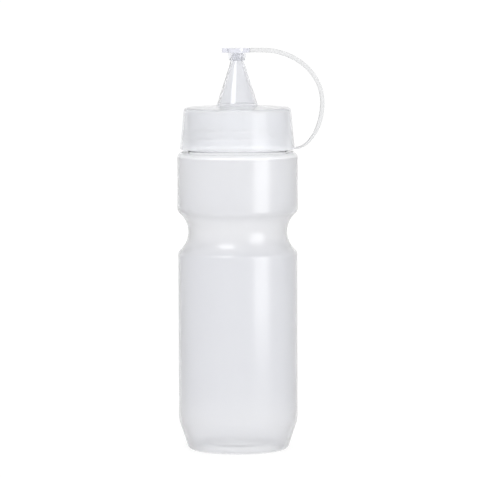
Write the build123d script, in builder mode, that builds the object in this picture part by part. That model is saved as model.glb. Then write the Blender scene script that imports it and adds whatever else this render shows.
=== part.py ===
from build123d import *

import math
import os

# A squeeze bottle for oil, in millimetres.
# The origin is the middle of the ring that the bottle stands on.
# +Z is up, and +X points to the side where the strap loops round.

# Body of the bottle
lower_radius = 31.0
upper_radius = 31.3
body_wall = 1.0
heel_height = 15.5
heel_base_radius = 25.8
heel_round = 12.0
foot_round = 3.0
foot_ring_width = 4.2
push_up_height = 3.2
push_up_run = 3.0
push_up_round = 1.6
shoulder_height = 155.0
shoulder_rise = 0.6
shoulder_round = 3.2

# Finger groove round the waist, a circular arc between two rounded lips
groove_height = 113.7
groove_arc_radius = 13.0
groove_depth = 5.3
groove_lip_round = 3.5

# Neck, set in from the upper body by the width of the shoulder
shoulder_width = 5.3
neck_wall = 1.5
neck_length = 19.8
neck_root_round = 0.6
neck_rim_round = 0.4

# Seal ring between the rim of the neck and the top of the screw cap
seal_thickness = 1.2
seal_width = 3.2
seal_edge_round = 0.25
seal_running_gap = 0.05
seal_side_clearance = 0.15

# Screw cap, whose skirt clears the neck at the top and widens downwards by its draft
skirt_wall = 1.4
skirt_clearance = 0.35
skirt_draft = 2.05
skirt_foot_gap = 1.1
skirt_edge_round = 0.3
cap_corner_round = 1.8
cap_plate = 1.6
cap_crown = 1.1
crown_inner_ledge = 2.0

# Pouring nozzle, a straight cone on the screw cap
nozzle_base_radius = 10.7
nozzle_tip_radius = 2.05
nozzle_height = 27.3
nozzle_wall = 1.05
nozzle_root_round = 2.0

# Tip cap that closes the nozzle
socket_radius = 4.6
socket_depth = 4.2
socket_clearance = 0.15
socket_lip_width = 0.3
socket_lip_height = 1.9
socket_lip_round = 2.2
flange_radius = 5.6
flange_thickness = 2.3
flange_round = 0.5
tab_reach = 8.0
tab_width = 6.0
tongue_reach = 0.8

# Strap that ties the tip cap to the foot of the skirt
strap_width = 4.0
strap_thickness = 2.15
strap_root_thickness = 0.9
strap_stand_off = 15.4
strap_widest_drop = 28.2
strap_top_run = 13.0
strap_root_inset = 1.3
strap_root_stub = 0.4
strap_edge_round = 0.3

# Heights and radii that follow from the sizes above
foot_inner_radius = heel_base_radius - foot_ring_width
shoulder_top = shoulder_height + shoulder_rise
neck_top = shoulder_top + neck_length
neck_radius = upper_radius - shoulder_width
neck_bore_radius = neck_radius - neck_wall
seal_outer_radius = neck_radius + skirt_clearance - seal_side_clearance
seal_inner_radius = seal_outer_radius - seal_width
cap_underside = neck_top + seal_thickness + seal_running_gap
cap_corner_height = cap_underside + cap_plate
cap_corner_radius = neck_radius + skirt_clearance + skirt_wall
skirt_bottom_radius = cap_corner_radius + skirt_draft
nozzle_base = cap_corner_height + cap_crown
nozzle_tip = nozzle_base + nozzle_height
skirt_bottom = shoulder_top + skirt_foot_gap
flange_bottom = nozzle_tip + socket_clearance
flange_top = flange_bottom + flange_thickness
strap_reach = skirt_bottom_radius + strap_stand_off
strap_root_run = skirt_bottom_radius - strap_root_inset

os.makedirs("parts", exist_ok=True)


def groove_half_height(radius):
    """Half the height of the groove where its arc meets a wall of this radius."""
    from_arc_centre = groove_arc_radius - (radius - groove_floor_radius)
    return math.sqrt(groove_arc_radius**2 - from_arc_centre**2)


def nozzle_radius(height):
    """Outer radius of the nozzle's cone at a height above the base."""
    share = (nozzle_tip - height) / nozzle_height
    return nozzle_tip_radius + share * (nozzle_base_radius - nozzle_tip_radius)


# The bottle: a blown shell with a pushed-up base, a finger groove and a wide open neck
groove_floor_radius = lower_radius - groove_depth
groove_low = groove_height - groove_half_height(lower_radius)
groove_high = groove_height + groove_half_height(upper_radius)

with BuildPart() as bottle:
    with BuildSketch(Plane.XZ) as body_section:
        with BuildLine():
            FilletPolyline(
                (0, push_up_height),
                (foot_inner_radius - push_up_run, push_up_height),
                (foot_inner_radius, 0),
                (heel_base_radius, 0),
                (lower_radius, heel_height),
                (lower_radius, groove_low),
                radius=[push_up_round, push_up_round / 2, foot_round, heel_round],
            )
            ThreePointArc(
                (lower_radius, groove_low),
                (groove_floor_radius, groove_height),
                (upper_radius, groove_high),
            )
            FilletPolyline(
                (upper_radius, groove_high),
                (upper_radius, shoulder_height),
                (neck_radius, shoulder_top),
                (neck_radius, neck_top),
                (0, neck_top),
                radius=[shoulder_round, neck_root_round, neck_rim_round],
            )
            Line((0, neck_top), (0, push_up_height))
        make_face()
        lip_points = [(lower_radius, groove_low), (upper_radius, groove_high)]
        lips = [body_section.vertices().sort_by_distance(p)[0] for p in lip_points]
        fillet(lips, radius=groove_lip_round)
    revolve(axis=Axis.Z)
    # The inside follows the outside at one wall's distance, up to the shoulder.
    with BuildSketch(Plane.XZ) as cavity_section:
        below_neck = Rectangle(
            upper_radius + lower_radius,
            shoulder_top,
            align=(Align.MIN, Align.MIN),
        )
        add(body_section.sketch_local, mode=Mode.INTERSECT)
        mirror(about=Plane.YZ)
        offset(amount=-body_wall, kind=Kind.INTERSECTION)
        add(below_neck, mode=Mode.INTERSECT)
    revolve(axis=Axis.Z, mode=Mode.SUBTRACT)
    with BuildSketch(Plane.XY.offset(neck_top)):
        Circle(neck_bore_radius)
    extrude(amount=-neck_length - shoulder_rise - 2 * body_wall, mode=Mode.SUBTRACT)
    mouth_edge = bottle.faces().sort_by(Axis.Z)[-1].edges().sort_by(SortBy.RADIUS)[0]
    fillet(mouth_edge, radius=neck_rim_round)

# The seal ring: a flat soft washer that lies on the rim and rises with the screw cap
with BuildPart() as seal_ring:
    with BuildSketch(Plane.XY.offset(neck_top)):
        Circle(seal_outer_radius)
        Circle(seal_inner_radius, mode=Mode.SUBTRACT)
    extrude(amount=seal_thickness)
    fillet(seal_ring.edges(), radius=seal_edge_round)


# Side view of the strap: two quarter ellipses outside and two inside, thinner at the root
strap_root_face = skirt_bottom_radius + strap_root_stub
strap_top_face = flange_radius + tongue_reach
strap_widest_height = flange_top - strap_widest_drop
strap_root_drop = strap_widest_height - skirt_bottom


def root_arc(reach, drop):
    """The lower quarter of the loop, from the plane of the stub up to the widest point."""
    start = 270 + math.degrees(math.asin((strap_root_face - strap_root_run) / reach))
    centre = (strap_root_run, strap_widest_height)
    return EllipticalCenterArc(centre, reach, drop, start_angle=start, arc_size=360 - start)


def top_arc(reach, drop):
    """The upper quarter of the loop, from the widest point up to the straight top."""
    centre = (strap_top_run, strap_widest_height)
    return EllipticalCenterArc(centre, reach, drop, start_angle=0, arc_size=90)


with BuildSketch(Plane.XZ) as strap_side:
    with BuildLine():
        outer_root = root_arc(strap_reach - strap_root_run, strap_root_drop)
        inner_root = root_arc(
            strap_reach - strap_root_run - strap_thickness,
            strap_root_drop - strap_root_thickness,
        )
        outer_top = top_arc(strap_reach - strap_top_run, strap_widest_drop)
        inner_top = top_arc(
            strap_reach - strap_top_run - strap_thickness,
            strap_widest_drop - strap_thickness,
        )
        Line(outer_root @ 0, inner_root @ 0)
        Polyline(
            outer_top @ 1,
            (strap_top_face, flange_top),
            (strap_top_face, flange_top - strap_thickness),
            inner_top @ 1,
        )
    make_face()

# The screw cap: skirt, crown and nozzle are one moulding, with a short stub for the strap
inner_base = cap_underside + cap_crown

with BuildPart() as screw_cap:
    with BuildSketch(Plane.XZ):
        with BuildLine():
            FilletPolyline(
                (skirt_bottom_radius, skirt_bottom),
                (cap_corner_radius, cap_corner_height),
                (nozzle_base_radius, nozzle_base),
                (nozzle_tip_radius, nozzle_tip),
                radius=[cap_corner_round, nozzle_root_round],
            )
            Polyline(
                (nozzle_tip_radius, nozzle_tip),
                (nozzle_tip_radius - nozzle_wall, nozzle_tip),
                (nozzle_radius(inner_base) - nozzle_wall, inner_base),
                (seal_inner_radius - crown_inner_ledge, cap_underside),
                (cap_corner_radius - skirt_wall, cap_underside),
                (skirt_bottom_radius - skirt_wall, skirt_bottom),
                (skirt_bottom_radius, skirt_bottom),
            )
        make_face()
    revolve(axis=Axis.Z)
    foot = screw_cap.faces().sort_by(Axis.Z)[0]
    fillet(foot.edges(), radius=skirt_edge_round)
    # The stub meets the root of the strap face to face.
    with BuildSketch(Plane.YZ.offset(skirt_bottom_radius - skirt_wall / 2)):
        with Locations((0, (outer_root @ 0).Y)):
            Rectangle(
                strap_width,
                (inner_root @ 0).Y - (outer_root @ 0).Y,
                align=(Align.CENTER, Align.MIN),
            )
    extrude(amount=skirt_wall / 2 + strap_root_stub)

# The strap: a flexible band, edge-on from the front, that tapers to a thin bend at its root
with BuildPart() as strap:
    extrude(strap_side.sketch, amount=strap_width / 2, both=True)
    fillet(strap.edges().filter_by(GeomType.ELLIPSE), radius=strap_edge_round)

# The tip cap: a round flange with a thumb tab, over a socket that fits the nozzle's tip
socket_bottom = flange_bottom - socket_depth
socket_mouth_radius = nozzle_radius(socket_bottom) + socket_clearance
with BuildPart() as tip_cap:
    with BuildSketch(Plane.XY.offset(flange_bottom)):
        Circle(flange_radius)
        with Locations((-(tab_reach - tab_width / 2) / 2, 0)):
            SlotCenterToCenter(tab_reach - tab_width / 2, tab_width)
        with Locations((flange_radius, 0)):
            Rectangle(2 * tongue_reach, strap_width)
    extrude(amount=flange_thickness)
    tongue_end = tip_cap.faces().sort_by(Axis.X)[-1]
    flange_edges = tip_cap.edges().filter_by(Plane.XY) - tongue_end.edges()
    fillet(flange_edges, radius=flange_round)
    with BuildSketch(Plane.XZ):
        with BuildLine():
            Polyline(
                (socket_mouth_radius + socket_lip_width, socket_bottom),
                (0, socket_bottom),
                (0, flange_bottom),
                (socket_radius, flange_bottom),
                (socket_radius, socket_bottom + socket_lip_height),
            )
            RadiusArc(
                (socket_radius, socket_bottom + socket_lip_height),
                (socket_mouth_radius + socket_lip_width, socket_bottom),
                socket_lip_round,
            )
        make_face()
    revolve(axis=Axis.Z)
    with BuildSketch(Plane.XZ):
        with BuildLine():
            Polyline(
                (0, socket_bottom),
                (socket_mouth_radius, socket_bottom),
                (nozzle_radius(nozzle_tip) + socket_clearance, flange_bottom),
                (0, flange_bottom),
                close=True,
            )
        make_face()
    revolve(axis=Axis.Z, mode=Mode.SUBTRACT)

for name, piece in {
    "bottle": bottle,
    "seal_ring": seal_ring,
    "screw_cap": screw_cap,
    "strap": strap,
    "tip_cap": tip_cap,
}.items():
    piece.part.label = name
    export_step(piece.part, f"parts/{name}.step")
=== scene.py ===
import math

import bmesh
import bpy
from mathutils import Matrix, Vector


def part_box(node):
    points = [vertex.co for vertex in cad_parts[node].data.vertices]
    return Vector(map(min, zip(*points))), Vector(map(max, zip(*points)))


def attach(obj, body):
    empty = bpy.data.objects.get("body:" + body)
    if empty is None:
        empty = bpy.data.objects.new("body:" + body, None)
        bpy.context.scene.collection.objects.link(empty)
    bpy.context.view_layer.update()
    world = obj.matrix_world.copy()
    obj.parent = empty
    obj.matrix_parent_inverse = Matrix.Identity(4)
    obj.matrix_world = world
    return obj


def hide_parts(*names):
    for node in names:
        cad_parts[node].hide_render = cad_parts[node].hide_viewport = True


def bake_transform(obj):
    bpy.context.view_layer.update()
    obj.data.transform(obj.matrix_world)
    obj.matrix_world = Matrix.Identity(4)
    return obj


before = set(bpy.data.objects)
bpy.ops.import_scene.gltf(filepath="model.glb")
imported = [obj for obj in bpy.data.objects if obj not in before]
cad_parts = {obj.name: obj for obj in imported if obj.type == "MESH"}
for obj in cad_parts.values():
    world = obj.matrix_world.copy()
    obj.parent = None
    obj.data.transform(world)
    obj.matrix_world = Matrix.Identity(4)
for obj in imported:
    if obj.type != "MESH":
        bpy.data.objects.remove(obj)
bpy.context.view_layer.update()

# The bottle
# One blown shell of soft milky polyethylene: a pushed-up base, a finger groove round the waist,
# a rounded shoulder and a wide open neck with a thread. It carries everything else.
bottle_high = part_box("bottle")[1]
upper_radius = bottle_high.y
neck_top = bottle_high.z
lower_radius = upper_radius - 0.0003
neck_radius = upper_radius - 0.0053
neck_wall = 0.0015
body_wall = 0.0010
rim_bevel = 0.0004
push_up_radius = 0.0186
push_up_height = 0.0032
push_up_edge = 0.0010
push_up_round = 0.0012
foot_inner_radius = 0.0216
foot_inner_round = 0.0008
foot_outer_radius = 0.0258
foot_outer_round = 0.0030
heel_height = 0.0155
heel_round = 0.0120
shoulder_height = 0.1550
shoulder_round = 0.0032
shoulder_top = 0.1556
neck_root_round = 0.0006
groove_height = 0.1137
groove_floor_radius = 0.0257
groove_arc = 0.0130
groove_lip = 0.0035
bottle_sides = 144


def rounded(corners, step=math.radians(6)):
    """The rings of an outline. A corner is (radius, height, rounding), and each rounding becomes an arc."""
    points = [Vector(corner[:2]) for corner in corners]
    rings = [points[0]]
    for before, here, after, corner in zip(points, points[1:], points[2:], corners[1:]):
        rounding = corner[2]
        if rounding == 0:
            rings.append(here)
            continue
        way_in = (here - before).normalized()
        turn = way_in.angle_signed((after - here).normalized())
        first = here - way_in * rounding * math.tan(abs(turn) / 2)
        to_centre = Matrix.Rotation(-math.copysign(math.pi / 2, turn), 2) @ way_in
        centre = first + to_centre * rounding
        count = max(2, math.ceil(abs(turn) / step))
        for i in range(count + 1):
            rings.append(centre + Matrix.Rotation(-turn * i / count, 2) @ (first - centre))
    rings.append(points[-1])
    return rings


def turned(name, rings, sides, floor=False):
    """A turned skin: one ring, extruded and scaled from each ring of the outline to the next."""
    bpy.ops.object.select_all(action="DESELECT")
    bpy.ops.mesh.primitive_circle_add(
        vertices=sides,
        radius=rings[0].x,
        fill_type="TRIFAN" if floor else "NOTHING",
        location=(0, 0, rings[0].y),
    )
    piece = bpy.context.object
    piece.name = name
    bpy.ops.object.transform_apply()
    bpy.ops.object.mode_set(mode="EDIT")
    bpy.ops.mesh.select_all(action="SELECT")
    if floor:
        bpy.ops.mesh.region_to_loop()
    for here, there in zip(rings, rings[1:]):
        bpy.ops.mesh.extrude_edges_move(
            TRANSFORM_OT_translate={"value": (0, 0, there.y - here.y)}
        )
        scale = there.x / here.x
        bpy.ops.transform.resize(value=(scale, scale, 1), center_override=(0, 0, there.y))
    # An outline that comes back to its start has its first and last ring welded.
    bpy.ops.mesh.select_all(action="SELECT")
    bpy.ops.mesh.remove_doubles(threshold=0.000005)
    bpy.ops.mesh.normals_make_consistent(inside=False)
    bpy.ops.object.mode_set(mode="OBJECT")
    return piece


def groove_lip_corner(wall_radius, side):
    """The height where a lip of the groove would be a sharp corner, and the slope of the groove there."""
    reach = groove_arc + groove_lip
    slant = math.acos((groove_floor_radius + groove_arc - wall_radius + groove_lip) / reach)
    height = groove_height + side * (reach * math.sin(slant) - groove_lip * math.tan(slant / 2))
    return height, math.tan(slant)


lower_lip, lower_slope = groove_lip_corner(lower_radius, -1)
upper_lip, upper_slope = groove_lip_corner(upper_radius, 1)
groove_apex = (
    lower_radius - upper_radius + lower_slope * lower_lip + upper_slope * upper_lip
) / (lower_slope + upper_slope)
groove_apex_radius = lower_radius - lower_slope * (groove_apex - lower_lip)

bottle = turned(
    "bottle_shell",
    rounded(
        [
            (push_up_radius - push_up_edge, push_up_height, 0),
            (push_up_radius, push_up_height, push_up_round),
            (foot_inner_radius, 0, foot_inner_round),
            (foot_outer_radius, 0, foot_outer_round),
            (lower_radius, heel_height, heel_round),
            (lower_radius, lower_lip, groove_lip),
            (groove_apex_radius, groove_apex, groove_arc),
            (upper_radius, upper_lip, groove_lip),
            (upper_radius, shoulder_height, shoulder_round),
            (neck_radius, shoulder_top, neck_root_round),
            (neck_radius, neck_top, 0),
        ]
    ),
    bottle_sides,
    floor=True,
)

ring_slack = 0.00003
bevel_steps = 3


def on_ring(vertex, radius, height):
    """True for a vertex that lies on this ring."""
    across = math.hypot(vertex.co.x, vertex.co.y)
    return abs(across - radius) < ring_slack and abs(vertex.co.z - height) < ring_slack


def soften_rings(piece, width, *rings):
    """Bevels the edge loops that lie on these rings, each (radius, height)."""
    bpy.context.view_layer.objects.active = piece
    bpy.ops.object.mode_set(mode="EDIT")
    bpy.ops.mesh.select_mode(type="EDGE")
    bpy.ops.mesh.select_all(action="DESELECT")
    mesh = bmesh.from_edit_mesh(piece.data)
    for edge in mesh.edges:
        if any(all(on_ring(v, *ring) for v in edge.verts) for ring in rings):
            edge.select_set(True)
    bmesh.update_edit_mesh(piece.data)
    bpy.ops.mesh.bevel(offset=width, segments=bevel_steps, affect="EDGES")
    bpy.ops.object.mode_set(mode="OBJECT")


def pick(piece):
    """Selects this piece alone and makes it the active one."""
    bpy.ops.object.select_all(action="DESELECT")
    piece.select_set(True)
    bpy.context.view_layer.objects.active = piece


def apply_modifier(piece, kind, **settings):
    """Adds one modifier with these settings and applies it."""
    pick(piece)
    modifier = piece.modifiers.new(kind.lower(), kind)
    for setting, value in settings.items():
        setattr(modifier, setting, value)
    bpy.ops.object.modifier_apply(modifier=modifier.name)


# The wall is thicker on the neck, which takes the thread.
neck_start = shoulder_top - 0.0001
neck_reach = neck_radius + 0.0008
neck_group = bottle.vertex_groups.new(name="neck")
for vertex in bottle.data.vertices:
    on_neck = vertex.co.z > neck_start and math.hypot(*vertex.co.xy) < neck_reach
    neck_group.add([vertex.index], 1.0 if on_neck else 0.0, "REPLACE")
apply_modifier(
    bottle,
    "SOLIDIFY",
    thickness=neck_wall,
    offset=-1,
    use_even_offset=True,
    vertex_group="neck",
    thickness_vertex_group=body_wall / neck_wall,
)
soften_rings(bottle, rim_bevel, (neck_radius, neck_top), (neck_radius - neck_wall, neck_top))

thread_pitch = 0.0042
thread_turns = 2.0
thread_steps = int(bottle_sides * thread_turns / 2)
thread_foot = 0.0018
thread_crest = 0.0006
thread_flank = 0.6
thread_sink = 0.0004
thread_run_in = 0.12
thread_end = 0.2
neck_thread_start = 0.1588
neck_thread_depth = 0.0009


def thread_ridge(name, foot_radius, depth, start_height):
    """One helical ridge that stands out of a round wall, or into it where the depth is negative."""
    bpy.ops.object.select_all(action="DESELECT")
    bpy.ops.mesh.primitive_plane_add(size=1, location=(0, 0, 0), rotation=(math.pi / 2, 0, 0))
    ridge = bpy.context.object
    ridge.name = name
    bpy.ops.object.transform_apply()
    inner = foot_radius - math.copysign(thread_sink, depth)
    for vertex in ridge.data.vertices:
        on_crest = vertex.co.x > 0
        half = (thread_crest if on_crest else thread_foot + 2 * thread_sink * thread_flank) / 2
        vertex.co.z = start_height + math.copysign(half, vertex.co.z)
        vertex.co.x = foot_radius + depth if on_crest else inner
    apply_modifier(
        ridge,
        "SCREW",
        axis="Z",
        angle=2 * math.pi * thread_turns,
        screw_offset=thread_pitch * thread_turns,
        steps=thread_steps,
        render_steps=thread_steps,
        use_normal_calculate=True,
    )
    # Both ends of the ridge run out into the wall.
    for vertex in ridge.data.vertices:
        across = math.hypot(*vertex.co.xy)
        bearing = math.atan2(vertex.co.y, vertex.co.x) / (2 * math.pi)
        turns = (vertex.co.z - start_height) / thread_pitch
        along = round(turns - bearing) + bearing
        share = min(along, thread_turns - along) / thread_run_in
        share = max(0.0, min(1.0, share))
        wanted = inner + (across - inner) * (thread_end + (1 - thread_end) * share)
        vertex.co.xy = vertex.co.xy * wanted / across
    bpy.ops.object.mode_set(mode="EDIT")
    bpy.ops.mesh.select_all(action="SELECT")
    bpy.ops.mesh.fill_holes(sides=0)
    bpy.ops.mesh.select_all(action="SELECT")
    bpy.ops.mesh.normals_make_consistent(inside=False)
    bpy.ops.object.mode_set(mode="OBJECT")
    return ridge


def join_solid(piece, added):
    """Unites a second solid with the piece and removes the second one."""
    apply_modifier(piece, "BOOLEAN", operation="UNION", solver="MANIFOLD", object=added)
    bpy.data.objects.remove(added)


join_solid(bottle, thread_ridge("neck_thread", neck_radius, neck_thread_depth, neck_thread_start))


def moulded_finish():
    """Soft unevenness of moulded plastic: where it is milkier, how its skin waves, and a fine grain."""
    group = bpy.data.node_groups.new("moulded_finish", "ShaderNodeTree")
    sockets = {
        "Patch Scale": ("INPUT", 40.0),
        "Wave Scale": ("INPUT", 90.0),
        "Grain Scale": ("INPUT", 2500.0),
        "Milkiness": ("OUTPUT", 0.0),
        "Wave": ("OUTPUT", 0.0),
        "Grain": ("OUTPUT", 0.0),
    }
    for name, (way, value) in sockets.items():
        socket = group.interface.new_socket(name, in_out=way, socket_type="NodeSocketFloat")
        socket.default_value = value
    nodes, link = group.nodes, group.links.new
    inlet = nodes.new("NodeGroupInput")
    outlet = nodes.new("NodeGroupOutput")
    place = nodes.new("ShaderNodeTexCoord")
    for scale, out in (
        ("Patch Scale", "Milkiness"),
        ("Wave Scale", "Wave"),
        ("Grain Scale", "Grain"),
    ):
        noise = nodes.new("ShaderNodeTexNoise")
        noise.inputs["Detail"].default_value = 3.0
        link(place.outputs["Object"], noise.inputs["Vector"])
        link(inlet.outputs[scale], noise.inputs["Scale"])
        link(noise.outputs["Fac"], outlet.inputs[out])
    return group


finish_group = moulded_finish()
roughness_spread = 0.05


def bump(nodes, link, height, distance):
    """A bump node at full strength, fed with this height."""
    node = nodes.new("ShaderNodeBump")
    node.inputs["Strength"].default_value = 1.0
    node.inputs["Distance"].default_value = distance
    link(height, node.inputs["Height"])
    return node


def moulded_plastic(
    name,
    clear,
    milky,
    roughness,
    transmission,
    bend,
    wave=0.00002,
    grain=0.000002,
    coat=0.0,
    gloss=0.12,
    patch=40.0,
):
    """A moulded plastic, whose colour drifts between a clearer and a milkier shade.

    Its bend of light is set below the real plastic's, so that wall behind wall stays bright.
    """
    material = bpy.data.materials.new(name)
    material.use_nodes = True
    nodes, link = material.node_tree.nodes, material.node_tree.links.new
    plastic = nodes["Principled BSDF"]
    plastic.inputs["IOR"].default_value = bend
    plastic.inputs["Transmission Weight"].default_value = transmission
    plastic.inputs["Coat Weight"].default_value = coat
    plastic.inputs["Coat Roughness"].default_value = gloss
    finish = nodes.new("ShaderNodeGroup")
    finish.node_tree = finish_group
    finish.inputs["Patch Scale"].default_value = patch
    shade = nodes.new("ShaderNodeMix")
    shade.data_type = "RGBA"
    shade.inputs["A"].default_value = (*clear, 1)
    shade.inputs["B"].default_value = (*milky, 1)
    link(finish.outputs["Milkiness"], shade.inputs["Factor"])
    link(shade.outputs["Result"], plastic.inputs["Base Color"])
    spread = nodes.new("ShaderNodeMapRange")
    spread.inputs["To Min"].default_value = roughness - roughness_spread
    spread.inputs["To Max"].default_value = roughness + roughness_spread
    link(finish.outputs["Grain"], spread.inputs["Value"])
    link(spread.outputs["Result"], plastic.inputs["Roughness"])
    waves = bump(nodes, link, finish.outputs["Wave"], wave)
    grains = bump(nodes, link, finish.outputs["Grain"], grain)
    link(waves.outputs["Normal"], grains.inputs["Normal"])
    link(grains.outputs["Normal"], plastic.inputs["Normal"])
    return material


def dress(piece, material):
    """Gives a finished mesh its smooth shading and its material."""
    pick(piece)
    bpy.ops.object.shade_smooth_by_angle(angle=math.radians(32))
    piece.data.materials.clear()
    piece.data.materials.append(material)


def finish_piece(piece, material, body, slot, *nodes):
    """Dresses a rigid piece and ties it to the frame."""
    dress(piece, material)
    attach(piece, body)
    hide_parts(*nodes)


bottle_plastic = moulded_plastic(
    "bottle_plastic",
    clear=(0.875, 0.88, 0.905),
    milky=(0.90, 0.905, 0.925),
    roughness=0.30,
    transmission=0.95,
    bend=1.25,
    wave=0.00003,
    coat=0.9,
    gloss=0.22,
)


def whiten_by_height(material, colour, *whitening_stops):
    """Turns the plastic towards this whiter colour by height, given as (height, share) pairs: painted
    light.
    """
    nodes, link = material.node_tree.nodes, material.node_tree.links.new
    place = nodes.new("ShaderNodeTexCoord")
    axes = nodes.new("ShaderNodeSeparateXYZ")
    link(place.outputs["Object"], axes.inputs["Vector"])
    height = nodes.new("ShaderNodeMapRange")
    height.inputs["From Max"].default_value = neck_top
    link(axes.outputs["Z"], height.inputs["Value"])
    whitening_ramp = nodes.new("ShaderNodeValToRGB")
    whitening_ramp.color_ramp.interpolation = "EASE"
    # A new ramp already has its first two stops.
    stops = whitening_ramp.color_ramp.elements
    for i, (level, share) in enumerate(whitening_stops):
        stop = stops[i] if i < 2 else stops.new(level / neck_top)
        stop.position = level / neck_top
        stop.color = (share, share, share, 1)
    link(height.outputs["Result"], whitening_ramp.inputs["Fac"])
    plastic = nodes["Principled BSDF"]
    blend = nodes.new("ShaderNodeMix")
    blend.data_type = "RGBA"
    link(whitening_ramp.outputs["Color"], blend.inputs["Factor"])
    link(plastic.inputs["Base Color"].links[0].from_socket, blend.inputs["A"])
    blend.inputs["B"].default_value = (*colour, 1)
    link(blend.outputs["Result"], plastic.inputs["Base Color"])


# Painted light: the colour turns whiter above the foot, at the waist and towards the shoulder,
# lightening the shade there. A blown wall is also thicker and milkier where it was stretched less.
whitened_wall_colour = (0.985, 0.985, 0.99)
whiten_by_height(
    bottle_plastic,
    whitened_wall_colour,
    (0.000, 0.0),
    (0.011, 0.35),
    (0.035, 0.0),
    (0.098, 0.0),
    (groove_height, 0.5),
    (0.130, 0.2),
    (0.150, 0.3),
)
finish_piece(bottle, bottle_plastic, "bottle", "bottle_plastic", "bottle")


def paint_faces(piece, material, where):
    """Gives this material to the faces whose distance from the axis and height pass the test."""
    piece.data.materials.append(material)
    for face in piece.data.polygons:
        if where(math.hypot(face.center.x, face.center.y), face.center.z):
            face.material_index = len(piece.data.materials) - 1


# The neck is shaped against a smooth core, so it is glossier and clearer than the blown body.
neck_plastic = moulded_plastic(
    "neck_plastic",
    clear=(0.94, 0.945, 0.965),
    milky=(0.965, 0.97, 0.985),
    roughness=0.16,
    transmission=0.98,
    bend=1.14,
)
neck_paint_start = shoulder_top + 0.0011
paint_faces(bottle, neck_plastic, lambda across, height: height > neck_paint_start)

# Painted light: the foot of the neck under the screw cap and the pushed-up middle of the base
# get a near-white plastic that hardly bends light, so that the shade falling there vanishes.
shade_clearing_plastic = moulded_plastic(
    "shade_clearing_plastic",
    clear=(0.97, 0.975, 0.98),
    milky=(0.99, 0.99, 0.99),
    roughness=0.12,
    transmission=1.0,
    bend=1.015,
    wave=0.00003,
)
shoulder_edge = 0.0290
under_cap_start = shoulder_height - 0.0008
shade_cleared_base_top = 0.0055
shade_cleared_base_radius = foot_inner_radius + 0.001


def clears_shade(across, height):
    """True on the shoulder under the screw cap, and in the middle of the base, where shade is painted out.
    """
    under_cap = under_cap_start < height < neck_paint_start and across < shoulder_edge
    middle_of_base = height < shade_cleared_base_top and across < shade_cleared_base_radius
    return under_cap or middle_of_base


paint_faces(bottle, shade_clearing_plastic, clears_shade)

# Painted light: the flat shoulder is given a whiter, milkier plastic that lightens its shade.
lightened_shoulder_plastic = moulded_plastic(
    "lightened_shoulder_plastic",
    clear=(0.95, 0.955, 0.975),
    milky=(0.97, 0.975, 0.985),
    roughness=0.30,
    transmission=0.5,
    bend=1.30,
    wave=0.00003,
    coat=0.8,
)
shoulder_start = shoulder_height - 0.0022
paint_faces(
    bottle,
    lightened_shoulder_plastic,
    lambda across, height: height > shoulder_start and across >= shoulder_edge,
)

# The seal ring
# A flat ring of soft silicone that lies on the rim of the neck, under the screw cap.
# It is pressed in place and comes away with the cap.
seal_low, seal_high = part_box("seal_ring")
seal_outer_radius = seal_high.y
seal_inner_radius = 0.0230
seal_round = 0.00025
seal_middle = (seal_outer_radius + seal_inner_radius) / 2
seal_sides = 96
seal_ring = turned(
    "seal_ring_silicone",
    rounded(
        [
            (seal_middle, seal_low.z, 0),
            (seal_outer_radius, seal_low.z, seal_round),
            (seal_outer_radius, seal_high.z, seal_round),
            (seal_inner_radius, seal_high.z, seal_round),
            (seal_inner_radius, seal_low.z, seal_round),
            (seal_middle, seal_low.z, 0),
        ],
        step=math.radians(22),
    ),
    seal_sides,
)
seal_silicone = moulded_plastic(
    "seal_silicone",
    clear=(0.80, 0.81, 0.83),
    milky=(0.86, 0.86, 0.87),
    roughness=0.6,
    transmission=0.0,
    bend=1.41,
    wave=0.00001,
    grain=0.00001,
)
finish_piece(seal_ring, seal_silicone, "seal", "seal_silicone", "seal_ring")

# The screw cap
# One translucent polypropylene moulding: a tapered skirt with a thread inside, a slightly crowned
# top and the long pouring nozzle. It screws down over the neck onto the seal ring.
cap_low, cap_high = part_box("screw_cap")
skirt_foot = cap_low.z
skirt_foot_radius = 0.0298
skirt_wall = 0.0014
skirt_inner_round = 0.0004
cap_corner_radius = 0.02775
cap_corner_round = 0.0018
cap_top_thickness = 0.0016
crown_rise = 0.0011
cap_underside = seal_high.z + 0.00005
cap_corner_height = cap_underside + cap_top_thickness
nozzle_foot = cap_corner_height + crown_rise
nozzle_foot_radius = 0.0107
nozzle_foot_round = 0.0020
nozzle_tip = cap_high.z
nozzle_tip_radius = 0.00205
nozzle_wall = 0.00105
nozzle_taper = (nozzle_foot_radius - nozzle_tip_radius) / (nozzle_tip - nozzle_foot)
crown_inside = cap_underside + crown_rise
crown_inside_radius = (
    nozzle_foot_radius + nozzle_taper * (nozzle_foot - crown_inside) - nozzle_wall
)
crown_edge_radius = seal_inner_radius - 0.0020
crown_edge_round = 0.0010
moulded_edge = 0.0003
skirt_middle = (skirt_foot + cap_corner_height) / 2
skirt_middle_radius = (skirt_foot_radius + cap_corner_radius) / 2
screw_cap = turned(
    "screw_cap_shell",
    rounded(
        [
            (skirt_middle_radius, skirt_middle, 0),
            (cap_corner_radius, cap_corner_height, cap_corner_round),
            (nozzle_foot_radius, nozzle_foot, nozzle_foot_round),
            (nozzle_tip_radius, nozzle_tip, moulded_edge),
            (nozzle_tip_radius - nozzle_wall, nozzle_tip, moulded_edge),
            (crown_inside_radius, crown_inside, nozzle_foot_round),
            (crown_edge_radius, cap_underside, crown_edge_round),
            (cap_corner_radius - skirt_wall, cap_underside, skirt_inner_round),
            (skirt_foot_radius - skirt_wall, skirt_foot, moulded_edge),
            (skirt_foot_radius, skirt_foot, moulded_edge),
            (skirt_middle_radius, skirt_middle, 0),
        ]
    ),
    bottle_sides,
)

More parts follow.
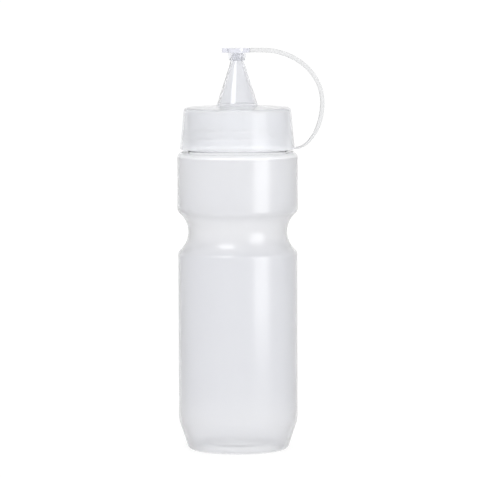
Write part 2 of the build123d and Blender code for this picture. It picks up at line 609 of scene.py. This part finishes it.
# The thread inside the skirt sits half a pitch above the neck's thread and stops short of the neck.
cap_thread_start = neck_thread_start + thread_pitch / 2
cap_thread_radius = 0.0278
cap_thread_depth = -0.0015
join_solid(
    screw_cap, thread_ridge("cap_thread", cap_thread_radius, cap_thread_depth, cap_thread_start)
)

# A short stub at the foot of the skirt takes the root of the strap.
strap_low, strap_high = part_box("strap")
strap_width = strap_high.y - strap_low.y
strap_root_thickness = 0.0009
stub_start = skirt_foot_radius - skirt_wall / 2
bpy.ops.object.select_all(action="DESELECT")
bpy.ops.mesh.primitive_cube_add(size=1)
stub = bpy.context.object
stub.scale = (cap_high.x - stub_start, strap_width, strap_root_thickness)
stub.location = ((cap_high.x + stub_start) / 2, 0, skirt_foot + strap_root_thickness / 2)
bpy.ops.object.transform_apply()
join_solid(screw_cap, stub)
cap_plastic = moulded_plastic(
    "cap_plastic",
    clear=(0.955, 0.965, 0.995),
    milky=(0.98, 0.985, 0.998),
    roughness=0.16,
    transmission=0.66,
    bend=1.17,
    coat=0.4,
    gloss=0.14,
)
finish_piece(screw_cap, cap_plastic, "lid", "cap_plastic", "screw_cap")

# The nozzle's wall is thinner and polished, so it is much clearer than the skirt.
nozzle_plastic = moulded_plastic(
    "nozzle_plastic",
    clear=(0.91, 0.915, 0.94),
    milky=(0.935, 0.94, 0.96),
    roughness=0.15,
    transmission=0.92,
    bend=1.42,
    coat=0.45,
    gloss=0.05,
)
nozzle_root_top = nozzle_foot + 0.0012
paint_faces(screw_cap, nozzle_plastic, lambda across, height: height > nozzle_root_top)

# The tip cap
# A small cap of the same plastic: a socket that fits over the nozzle's tip, under a round flange
# with a thumb tab. A short tongue on the flange's other side holds the end of the strap.
tip_low, tip_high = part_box("tip_cap")
flange_radius = 0.0056
flange_thickness = 0.0023
flange_foot = tip_high.z - flange_thickness
flange_bevel = 0.0005
flange_sides = 96
tab_reach = -tip_low.x
tab_half_width = 0.0030
tab_angle = math.asin(tab_half_width / flange_radius)
tongue_reach = 0.0008
sharp_edge = math.radians(50)
bpy.ops.object.select_all(action="DESELECT")
bpy.ops.mesh.primitive_circle_add(
    vertices=flange_sides, radius=flange_radius, fill_type="NGON", location=(0, 0, flange_foot)
)
tip_cap = bpy.context.object
tip_cap.name = "tip_cap_shell"
bpy.ops.object.transform_apply()
for vertex in tip_cap.data.vertices:
    bearing = math.atan2(vertex.co.y, -vertex.co.x)
    if abs(bearing) < tab_angle:
        round_end = math.pi / 2 * bearing / tab_angle
        vertex.co.x = -(tab_reach - tab_half_width) - tab_half_width * math.cos(round_end)
        vertex.co.y = tab_half_width * math.sin(round_end)
bpy.ops.object.mode_set(mode="EDIT")
bpy.ops.mesh.select_all(action="SELECT")
bpy.ops.mesh.extrude_region_move(
    TRANSFORM_OT_translate={"value": (0, 0, flange_thickness)}
)
bpy.ops.mesh.select_all(action="SELECT")
bpy.ops.mesh.normals_make_consistent(inside=False)
bpy.ops.mesh.select_all(action="DESELECT")
mesh = bmesh.from_edit_mesh(tip_cap.data)
for face in mesh.faces:
    middle = face.calc_center_median()
    upright = abs(face.normal.z) < 0.1
    by_strap = middle.x > 0 and abs(middle.y) < strap_width / 2
    face.select_set(upright and by_strap)
bmesh.update_edit_mesh(tip_cap.data)
bpy.ops.mesh.extrude_region_move(TRANSFORM_OT_translate={"value": (tongue_reach, 0, 0)})
bpy.ops.transform.resize(value=(0, 1, 1), center_override=(tip_high.x, 0, 0))
bpy.ops.object.mode_set(mode="OBJECT")
apply_modifier(
    tip_cap,
    "BEVEL",
    width=flange_bevel,
    segments=bevel_steps,
    limit_method="ANGLE",
    angle_limit=sharp_edge,
)

# The socket is turned on its own and sunk a little into the flange. The small hole in the middle
# of its end is filled by the flange.
socket_radius = 0.0046
socket_round = 0.0022
socket_lip_height = 0.0019
socket_rim = 0.0005
socket_rim_round = 0.0002
socket_clearance = 0.00015
socket_mouth_radius = (
    nozzle_tip_radius + nozzle_taper * (nozzle_tip - tip_low.z) + socket_clearance
)
socket_end_round = 0.0001
socket_end_hole = 0.0006
socket_sink = 0.0008
socket_top = flange_foot + socket_sink
socket_sides = 64
socket = turned(
    "socket",
    rounded(
        [
            (socket_radius - socket_sink, socket_top, 0),
            (socket_radius, socket_top, 0),
            (socket_radius, tip_low.z + socket_lip_height, socket_round),
            (socket_mouth_radius + socket_rim, tip_low.z, socket_rim_round),
            (socket_mouth_radius, tip_low.z, socket_rim_round),
            (nozzle_tip_radius + socket_clearance, flange_foot, socket_end_round),
            (socket_end_hole, flange_foot, 0),
            (socket_end_hole, socket_top, 0),
            (socket_radius - socket_sink, socket_top, 0),
        ]
    ),
    socket_sides,
)
join_solid(tip_cap, socket)
tip_plastic = moulded_plastic(
    "tip_plastic",
    clear=(0.93, 0.935, 0.97),
    milky=(0.965, 0.97, 0.99),
    roughness=0.12,
    transmission=0.90,
    bend=1.40,
    coat=0.5,
    gloss=0.08,
    patch=330.0,
)
finish_piece(tip_cap, tip_plastic, "tip_cap", "cap_plastic", "tip_cap")

# The flange is thicker than the socket's wall, so it is seen a shade darker.
flange_plastic = moulded_plastic(
    "flange_plastic",
    clear=(0.72, 0.73, 0.83),
    milky=(0.88, 0.885, 0.935),
    roughness=0.12,
    transmission=0.90,
    bend=1.40,
    coat=0.4,
    gloss=0.08,
    patch=330.0,
)
flange_paint_start = flange_foot + 0.0001
paint_faces(tip_cap, flange_plastic, lambda across, height: height > flange_paint_start)

# The strap
# A flexible matt band that loops from the stub on the skirt to the tongue on the tip cap.
# It is moulded flat and thins towards its root so that it bends there.
strap_thickness = 0.00215
strap_bevel = 0.0004
strap_steps = 120
thin_root_run = 0.022
widest_height = strap_high.z - 0.0282
top_run = 0.0130
root_run = 0.0285
round_pull = 0.5523
half_root = strap_root_thickness / 2
half_strap = strap_thickness / 2
root = Vector((cap_high.x, skirt_foot + half_root))
widest = Vector((strap_high.x - half_strap, widest_height))
top = Vector((top_run, strap_high.z - half_strap))
end = Vector((strap_low.x, strap_high.z - half_strap))
root_pull = Vector(((widest.x - root_run) * round_pull + root_run - root.x, 0.0001))
down_pull = Vector((0, -(widest.y - root.y) * round_pull))
up_pull = Vector((0, (top.y - widest.y) * round_pull))
out_pull = Vector(((widest.x - top.x) * round_pull, 0))
flat_pull = Vector((0.002, 0))
end_pull = Vector((0.001, 0))
bpy.ops.object.select_all(action="DESELECT")
bpy.ops.curve.primitive_bezier_curve_add()
loop = bpy.context.object
loop.data.dimensions = "2D"
loop.data.resolution_u = 48
spline = loop.data.splines[0]
spline.bezier_points.add(2)
points = spline.bezier_points
for point, place, before, after in (
    (points[0], root, -end_pull, root_pull),
    (points[1], widest, down_pull, up_pull),
    (points[2], top, out_pull, -flat_pull),
    (points[3], end, flat_pull, -end_pull),
):
    point.handle_left_type = "FREE"
    point.handle_right_type = "FREE"
    point.co = (*place, 0)
    point.handle_left = (*(place + before), 0)
    point.handle_right = (*(place + after), 0)
strap_length = spline.calc_length()
bpy.ops.object.select_all(action="DESELECT")
bpy.ops.mesh.primitive_cube_add(size=1)
strap = bpy.context.object
strap.name = "strap_band"
strap.scale = (strap_length, strap_thickness, strap_width)
strap.location = (strap_length / 2, 0, 0)
bpy.ops.object.transform_apply()
bpy.ops.object.mode_set(mode="EDIT")
for i in range(1, strap_steps):
    bpy.ops.mesh.select_all(action="SELECT")
    bpy.ops.mesh.bisect(plane_co=(strap_length * i / strap_steps, 0, 0), plane_no=(1, 0, 0))
bpy.ops.object.mode_set(mode="OBJECT")
for vertex in strap.data.vertices:
    share = min(1.0, vertex.co.x / thin_root_run)
    share = share * share * (3 - 2 * share)
    thickness = strap_root_thickness + share * (strap_thickness - strap_root_thickness)
    vertex.co.y = math.copysign(thickness / 2, vertex.co.y)
apply_modifier(
    strap,
    "BEVEL",
    width=strap_bevel,
    segments=bevel_steps,
    limit_method="ANGLE",
    angle_limit=sharp_edge,
)
apply_modifier(strap, "CURVE", object=loop, deform_axis="POS_X")
bpy.data.objects.remove(loop)
strap.rotation_euler = (math.pi / 2, 0, 0)
bpy.ops.object.transform_apply()
strap_plastic = moulded_plastic(
    "strap_plastic",
    clear=(0.63, 0.635, 0.64),
    milky=(0.67, 0.67, 0.675),
    roughness=0.60,
    transmission=0.1,
    bend=1.25,
)
dress(strap, strap_plastic)
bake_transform(strap)
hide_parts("strap")

# The studio
# A white floor in white surroundings. A tall softbox on the right and one high on the left draw
# the highlights, and a wide soft light in front fills the shade.
floor_size = 60
floor_paint_lit = (0.8, 0.8, 0.8, 1)
floor_paint_seen = (0.2, 0.2, 0.2, 1)
floor_glow_seen = 0.84
bpy.ops.object.select_all(action="DESELECT")
bpy.ops.mesh.primitive_plane_add(size=floor_size)
floor = bpy.context.object
floor.name = "studio_floor"
floor_paint = bpy.data.materials.new("studio_floor")
floor_paint.use_nodes = True
nodes, link = floor_paint.node_tree.nodes, floor_paint.node_tree.links.new
nodes.remove(nodes["Principled BSDF"])


def seen_rays(nodes, link):
    """Rays that look straight, by reflection or through a clear piece, rather than gather soft light."""
    path = nodes.new("ShaderNodeLightPath")
    total = path.outputs["Is Camera Ray"]
    for way in ("Is Glossy Ray", "Is Transmission Ray"):
        either = nodes.new("ShaderNodeMath")
        either.operation = "MAXIMUM"
        link(total, either.inputs[0])
        link(path.outputs[way], either.inputs[1])
        total = either.outputs["Value"]
    return total


seen = seen_rays(nodes, link)
shade = nodes.new("ShaderNodeMix")
shade.data_type = "RGBA"
shade.inputs["A"].default_value = floor_paint_lit
shade.inputs["B"].default_value = floor_paint_seen
link(seen, shade.inputs["Factor"])
paint = nodes.new("ShaderNodeBsdfDiffuse")
link(shade.outputs["Result"], paint.inputs["Color"])
glow = nodes.new("ShaderNodeEmission")
strength = nodes.new("ShaderNodeMath")
strength.operation = "MULTIPLY"
strength.inputs[1].default_value = floor_glow_seen
link(seen, strength.inputs[0])
link(strength.outputs["Value"], glow.inputs["Strength"])
both = nodes.new("ShaderNodeAddShader")
link(paint.outputs["BSDF"], both.inputs[0])
link(glow.outputs["Emission"], both.inputs[1])
link(both.outputs["Shader"], nodes["Material Output"].inputs["Surface"])
floor.data.materials.append(floor_paint)

surroundings_lit = 0.95
surroundings_seen = 1.0
scene = bpy.context.scene
world = scene.world or bpy.data.worlds.new("studio")
scene.world = world
world.use_nodes = True
nodes, link = world.node_tree.nodes, world.node_tree.links.new
seen = seen_rays(nodes, link)
level = nodes.new("ShaderNodeMapRange")
level.inputs["To Min"].default_value = surroundings_lit
level.inputs["To Max"].default_value = surroundings_seen
link(seen, level.inputs["Value"])
nodes["Background"].inputs["Color"].default_value = (1, 1, 1, 1)
link(level.outputs["Result"], nodes["Background"].inputs["Strength"])


def soft_light(name, bearing, elevation, distance, width, height, radiance, aim):
    """A rectangular soft light, seen from the object at this bearing right of the camera."""
    bearing, elevation = math.radians(bearing), math.radians(elevation)
    away = Vector(
        (
            math.sin(bearing) * math.cos(elevation),
            -math.cos(bearing) * math.cos(elevation),
            math.sin(elevation),
        )
    )
    bpy.ops.object.light_add(type="AREA")
    light = bpy.context.object
    light.name = name
    light.data.shape = "RECTANGLE"
    light.data.size = width
    light.data.size_y = height
    light.data.energy = radiance * math.pi * width * height
    light.location = aim + away * distance
    light.rotation_euler = away.to_track_quat("Z", "Y").to_euler()
    light.visible_transmission = False
    return light


body_middle = Vector((0, 0, 0.11))
right_softbox = soft_light(
    "right_softbox",
    bearing=46,
    elevation=4,
    distance=0.50,
    width=0.28,
    height=0.40,
    radiance=3.7,
    aim=Vector((0, 0, 0.17)),
)
right_softbox.visible_diffuse = False
left_softbox = soft_light(
    "left_softbox",
    bearing=-29,
    elevation=43,
    distance=0.80,
    width=0.38,
    height=0.30,
    radiance=5.5,
    aim=body_middle,
)
left_softbox.visible_diffuse = False
front_fill = soft_light(
    "front_fill",
    bearing=8,
    elevation=8,
    distance=1.00,
    width=0.60,
    height=0.60,
    radiance=5.0,
    aim=body_middle,
)
front_fill.visible_glossy = False

# The camera
# Two metres off and a little higher than the bottle, looking slightly down, with a long lens.
# It leans by a sixth of a degree, as in the photograph.
camera_distance = 2.0
camera_height = 0.280
camera_lens = 285
aim_height = 0.110
side_step = 0.0035
lean = math.radians(0.17)
bpy.ops.object.camera_add(location=(side_step, -camera_distance, camera_height))
camera = bpy.context.object
camera.data.lens = camera_lens
down = math.atan2(camera_height - aim_height, camera_distance)
camera.rotation_euler = (math.pi / 2 - down, lean, 0)
scene.camera = camera
scene.view_settings.view_transform = "Standard"
